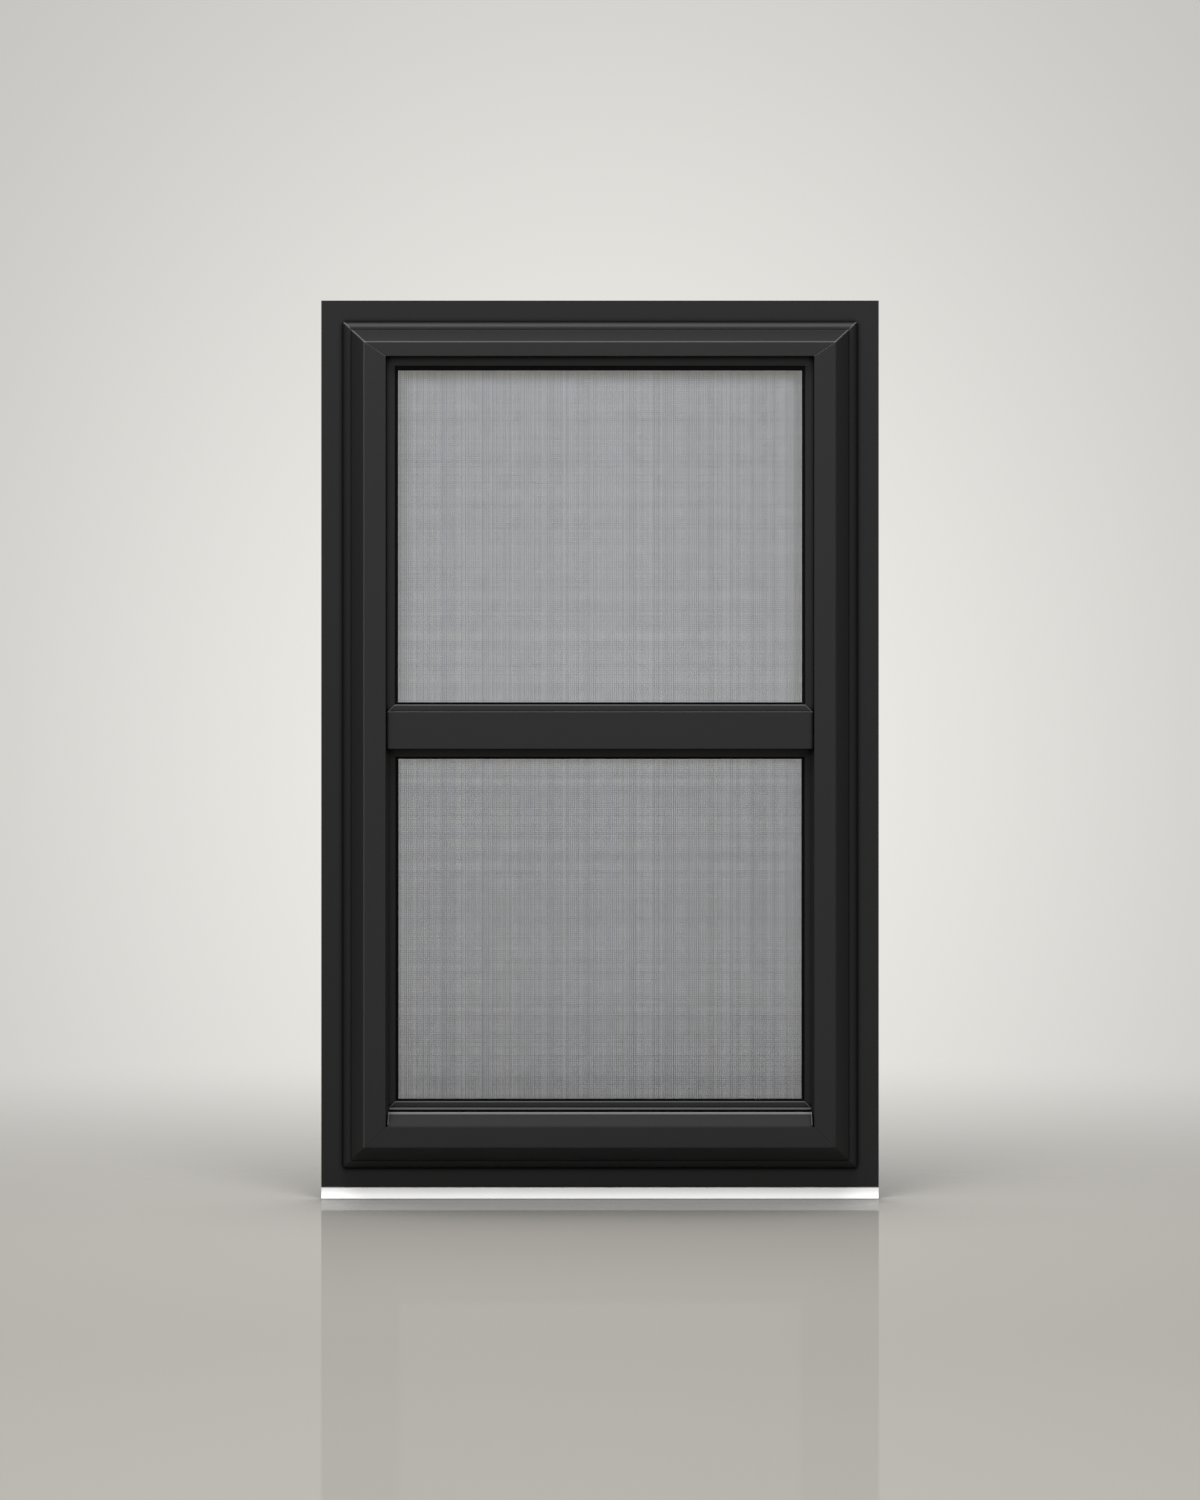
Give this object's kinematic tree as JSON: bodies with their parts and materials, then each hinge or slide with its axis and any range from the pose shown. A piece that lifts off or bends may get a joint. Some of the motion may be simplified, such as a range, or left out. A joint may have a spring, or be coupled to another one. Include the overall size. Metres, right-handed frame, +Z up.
{
  "type": "storm window",
  "caption": "Storm window with a stepped black aluminium frame, upper and lower glazed sashes, a full insect screen behind them and a white sill expander.",
  "frame": {"origin": "middle of the sill flange, on the plane where the flanges lie against the wall", "axes": "+X to the right seen from outside, +Y into the wall, +Z up; the front of the window faces -Y"},
  "size_m": [0.61, 0.038, 0.9831],
  "materials": {
    "black_frame": "satin black powder coat",
    "black_sash": "satin black powder coat",
    "screen_frame": "satin black paint",
    "white_expander": "white paint",
    "glass": "clear polished",
    "gasket": "matte black",
    "black_plastic": "moulded black",
    "screen_cloth": "woven grey yarn"
  },
  "bodies": {
    "root": {"head_frame": "black_frame", "sill_frame": "black_frame", "left_jamb": "black_frame", "right_jamb": "black_frame", "sill_ledge": "black_frame", "sill_expander": "white_expander", "upper_top_rail": "black_sash", "meeting_rail": "black_sash", "upper_left_stile": "black_sash", "upper_right_stile": "black_sash", "upper_glass": "glass", "upper_gasket": "gasket", "lower_top_rail": "black_sash", "lower_bottom_rail": "black_sash", "lower_left_stile": "black_sash", "lower_right_stile": "black_sash", "lower_glass": "glass", "lower_gasket": "gasket", "lower_left_latch": "black_plastic", "lower_right_latch": "black_plastic", "screen_top_rail": "screen_frame", "screen_bottom_rail": "screen_frame", "screen_left_stile": "screen_frame", "screen_right_stile": "screen_frame", "screen_crossbar": "screen_frame", "screen_mesh": "screen_cloth", "screen_spline": "gasket", "screen_pull_tabs": "black_plastic"}
  },
  "joints": []
}
